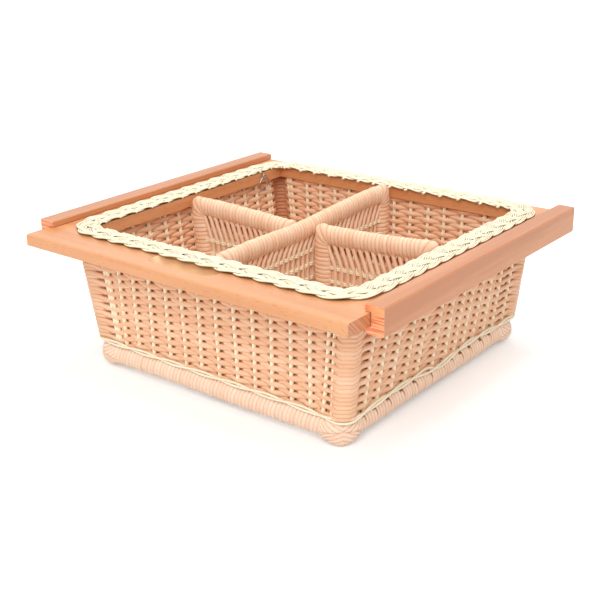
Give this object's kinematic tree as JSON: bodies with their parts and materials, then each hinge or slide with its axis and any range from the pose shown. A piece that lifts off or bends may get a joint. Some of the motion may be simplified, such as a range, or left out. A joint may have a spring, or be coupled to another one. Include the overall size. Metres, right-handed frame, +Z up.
{
  "type": "pull-out kitchen basket",
  "caption": "Woven cane basket hung in a beech frame that slides in grooved wooden runners, with a lift-out cane partition and a small pull ring.",
  "frame": {"origin": "on the floor, under the middle of the part's overall box", "axes": "+X to the right across the runners, +Y to the back of the cabinet, +Z up; the basket pulls out along -Y"},
  "size_m": [0.564, 0.5, 0.207],
  "materials": {
    "beech": "clear lacquer, satin",
    "fresh_beech": "bare, unlacquered",
    "peach_cane": "thinly lacquered cane, satin",
    "cream_cane": "natural cane, satin",
    "wire_steel": "plated wire, slightly dull"
  },
  "bodies": {
    "runners": {"left_runner": "beech", "right_runner": "beech"},
    "basket": {"front_board": "beech", "left_side_member": "beech", "right_side_member": "beech", "rear_rail": "beech", "dowel_front_left_1": "fresh_beech", "dowel_front_left_2": "fresh_beech", "dowel_front_right_1": "fresh_beech", "dowel_front_right_2": "fresh_beech", "dowel_rear_left_1": "fresh_beech", "dowel_rear_left_2": "fresh_beech", "dowel_rear_right_1": "fresh_beech", "dowel_rear_right_2": "fresh_beech", "rim_braid": "cream_cane", "front_weave": "peach_cane", "rear_weave": "peach_cane", "left_weave": "peach_cane", "right_weave": "peach_cane", "waling_band": "cream_cane", "front_border": "peach_cane", "rear_border": "peach_cane", "left_border": "peach_cane", "right_border": "peach_cane", "front_left_corner_wrap": "peach_cane", "front_right_corner_wrap": "peach_cane", "rear_left_corner_wrap": "peach_cane", "rear_right_corner_wrap": "peach_cane", "base_weave": "peach_cane", "screw_eye": "wire_steel"},
    "partition": {"long_divider_frame": "peach_cane", "long_divider_weave": "peach_cane", "left_divider_frame": "peach_cane", "left_divider_weave": "peach_cane", "right_divider_frame": "peach_cane", "right_divider_weave": "peach_cane"},
    "ring": {"pull_ring": "wire_steel"}
  },
  "joints": [
    {"name": "basket_slide", "type": "slide", "parent": "runners", "child": "basket", "axis": [0, -1, 0], "range_m": [0, 0.36]},
    {"name": "partition_lift", "type": "slide", "parent": "basket", "child": "partition", "axis": [0, 0, 1], "range_m": [0, 0.19]},
    {"name": "ring_swing", "type": "hinge", "parent": "basket", "child": "ring", "pos_m": [-0.2087, 0.1744, 0.1905], "axis": [0, -1, 0], "range_deg": [0, 80]}
  ]
}
